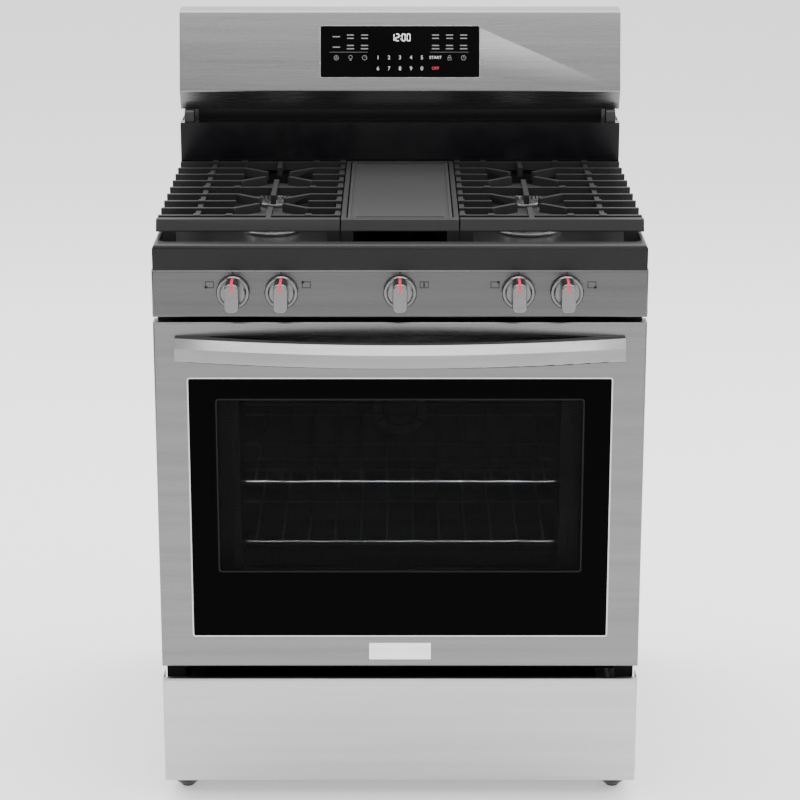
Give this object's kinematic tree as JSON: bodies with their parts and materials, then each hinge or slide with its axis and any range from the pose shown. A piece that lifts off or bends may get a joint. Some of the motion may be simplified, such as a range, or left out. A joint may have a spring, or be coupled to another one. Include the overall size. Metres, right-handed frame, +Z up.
{
  "type": "freestanding gas range",
  "caption": "Freestanding gas range with cast grates, a centre griddle, control knobs, an oven door, a storage drawer and a raised backguard display.",
  "frame": {"origin": "on the floor under the centre of the overall box", "axes": "+X to the right when facing the range, +Y back towards the wall, +Z up"},
  "size_m": [0.762, 0.7199, 1.194],
  "materials": {
    "stainless": "brushed stainless steel, satin",
    "bright_steel": "bright plated wire",
    "dark_enamel": "dark metallic enamel, semi-gloss",
    "black_paint": "black paint, satin",
    "porcelain": "speckled dark porcelain enamel",
    "galvanized": "galvanized sheet",
    "cast_iron": "matte cast iron",
    "griddle_coat": "satin non-stick coat",
    "cast_aluminium": "bare casting",
    "brass": "turned brass",
    "satin_knob": "satin metal knob",
    "dark_glass": "black tempered glass",
    "clear_glass": "tempered glass",
    "insulation": "mineral wool",
    "gasket": "woven glass-fibre gasket",
    "board": "circuit board",
    "ceramic": "white ceramic",
    "leg_plastic": "black moulded foot",
    "zinc": "zinc plated",
    "grey_plastic": "grey plastic"
  },
  "bodies": {
    "chassis": {"side_panel_left": "black_paint", "side_panel_right": "black_paint", "base_frame": "galvanized", "levelling_legs": "leg_plastic", "front_frame": "porcelain", "back_panel": "galvanized", "oven_liner": "porcelain", "insulation_blanket": "insulation", "rack_guides": "bright_steel", "rack_upper": "bright_steel", "rack_lower": "bright_steel", "oven_floor_panel": "porcelain", "bake_burner": "galvanized", "broil_burner": "galvanized", "fan_cover": "porcelain", "fan_motor": "zinc", "oven_lamp": "clear_glass", "door_gasket": "gasket", "cooktop": "dark_enamel", "burner_bases": "cast_aluminium", "burner_caps": "cast_iron", "spark_igniters": "ceramic", "gas_manifold": "galvanized", "burner_tubes": "cast_aluminium", "burner_valves": "brass", "pressure_regulator": "cast_aluminium", "control_panel": "stainless", "riser_panel": "black_paint", "backguard_shell": "stainless", "display_glass": "dark_glass", "control_board": "board", "vent_trim": "grey_plastic", "flue_duct": "galvanized", "panel_screws": "zinc", "hinge_arms": "zinc", "drawer_rails": "zinc"},
    "door": {"door_skin": "stainless", "door_outer_glass": "dark_glass", "door_liner": "porcelain", "door_inner_glass": "clear_glass", "door_handle": "stainless", "hinge_channels": "zinc"},
    "drawer": {"drawer_front": "stainless", "drawer_box": "black_paint", "drawer_runners": "zinc"},
    "fan": {"convection_fan": "galvanized"},
    "grate_left": {"grate_left": "cast_iron"},
    "grate_right": {"grate_right": "cast_iron"},
    "grate_center": {"grate_center": "cast_iron"},
    "griddle": {"griddle": "griddle_coat"},
    "stem_front_left": {"valve_stem_front_left": "zinc"},
    "knob_front_left": {"knob_front_left": "satin_knob"},
    "stem_rear_left": {"valve_stem_rear_left": "zinc"},
    "knob_rear_left": {"knob_rear_left": "satin_knob"},
    "stem_center": {"valve_stem_center": "zinc"},
    "knob_center": {"knob_center": "satin_knob"},
    "stem_rear_right": {"valve_stem_rear_right": "zinc"},
    "knob_rear_right": {"knob_rear_right": "satin_knob"},
    "stem_front_right": {"valve_stem_front_right": "zinc"},
    "knob_front_right": {"knob_front_right": "satin_knob"}
  },
  "joints": [
    {"name": "door_hinge", "type": "hinge", "parent": "chassis", "child": "door", "pos_m": [0, -0.272, 0.246], "axis": [1, 0, 0], "range_deg": [0, 90]},
    {"name": "drawer_slide", "type": "slide", "parent": "chassis", "child": "drawer", "axis": [0, -1, 0], "range_m": [0, 0.38]},
    {"name": "fan_spin", "type": "hinge", "parent": "chassis", "child": "fan", "pos_m": [0, 0.19, 0.518], "axis": [0, 1, 0], "continuous": true},
    {"name": "grate_left_lift", "type": "slide", "parent": "chassis", "child": "grate_left", "axis": [0, 0, 1], "range_m": [0, 0.12]},
    {"name": "grate_right_lift", "type": "slide", "parent": "chassis", "child": "grate_right", "axis": [0, 0, 1], "range_m": [0, 0.12]},
    {"name": "grate_center_lift", "type": "slide", "parent": "chassis", "child": "grate_center", "axis": [0, 0, 1], "range_m": [0, 0.12]},
    {"name": "griddle_lift", "type": "slide", "parent": "grate_center", "child": "griddle", "axis": [0, 0, 1], "range_m": [0, 0.08]},
    {"name": "push_front_left", "type": "slide", "parent": "chassis", "child": "stem_front_left", "axis": [0, 1, 0], "range_m": [0, 0.003], "stiffness_N_per_m": 1200},
    {"name": "turn_front_left", "type": "hinge", "parent": "stem_front_left", "child": "knob_front_left", "pos_m": [-0.255, -0.32, 0.847], "axis": [0, -1, 0], "range_deg": [0, 225]},
    {"name": "push_rear_left", "type": "slide", "parent": "chassis", "child": "stem_rear_left", "axis": [0, 1, 0], "range_m": [0, 0.003], "stiffness_N_per_m": 1200},
    {"name": "turn_rear_left", "type": "hinge", "parent": "stem_rear_left", "child": "knob_rear_left", "pos_m": [-0.181, -0.32, 0.847], "axis": [0, -1, 0], "range_deg": [0, 225]},
    {"name": "push_center", "type": "slide", "parent": "chassis", "child": "stem_center", "axis": [0, 1, 0], "range_m": [0, 0.003], "stiffness_N_per_m": 1200},
    {"name": "turn_center", "type": "hinge", "parent": "stem_center", "child": "knob_center", "pos_m": [0, -0.32, 0.847], "axis": [0, -1, 0], "range_deg": [0, 225]},
    {"name": "push_rear_right", "type": "slide", "parent": "chassis", "child": "stem_rear_right", "axis": [0, 1, 0], "range_m": [0, 0.003], "stiffness_N_per_m": 1200},
    {"name": "turn_rear_right", "type": "hinge", "parent": "stem_rear_right", "child": "knob_rear_right", "pos_m": [0.181, -0.32, 0.847], "axis": [0, -1, 0], "range_deg": [0, 225]},
    {"name": "push_front_right", "type": "slide", "parent": "chassis", "child": "stem_front_right", "axis": [0, 1, 0], "range_m": [0, 0.003], "stiffness_N_per_m": 1200},
    {"name": "turn_front_right", "type": "hinge", "parent": "stem_front_right", "child": "knob_front_right", "pos_m": [0.255, -0.32, 0.847], "axis": [0, -1, 0], "range_deg": [0, 225]}
  ]
}
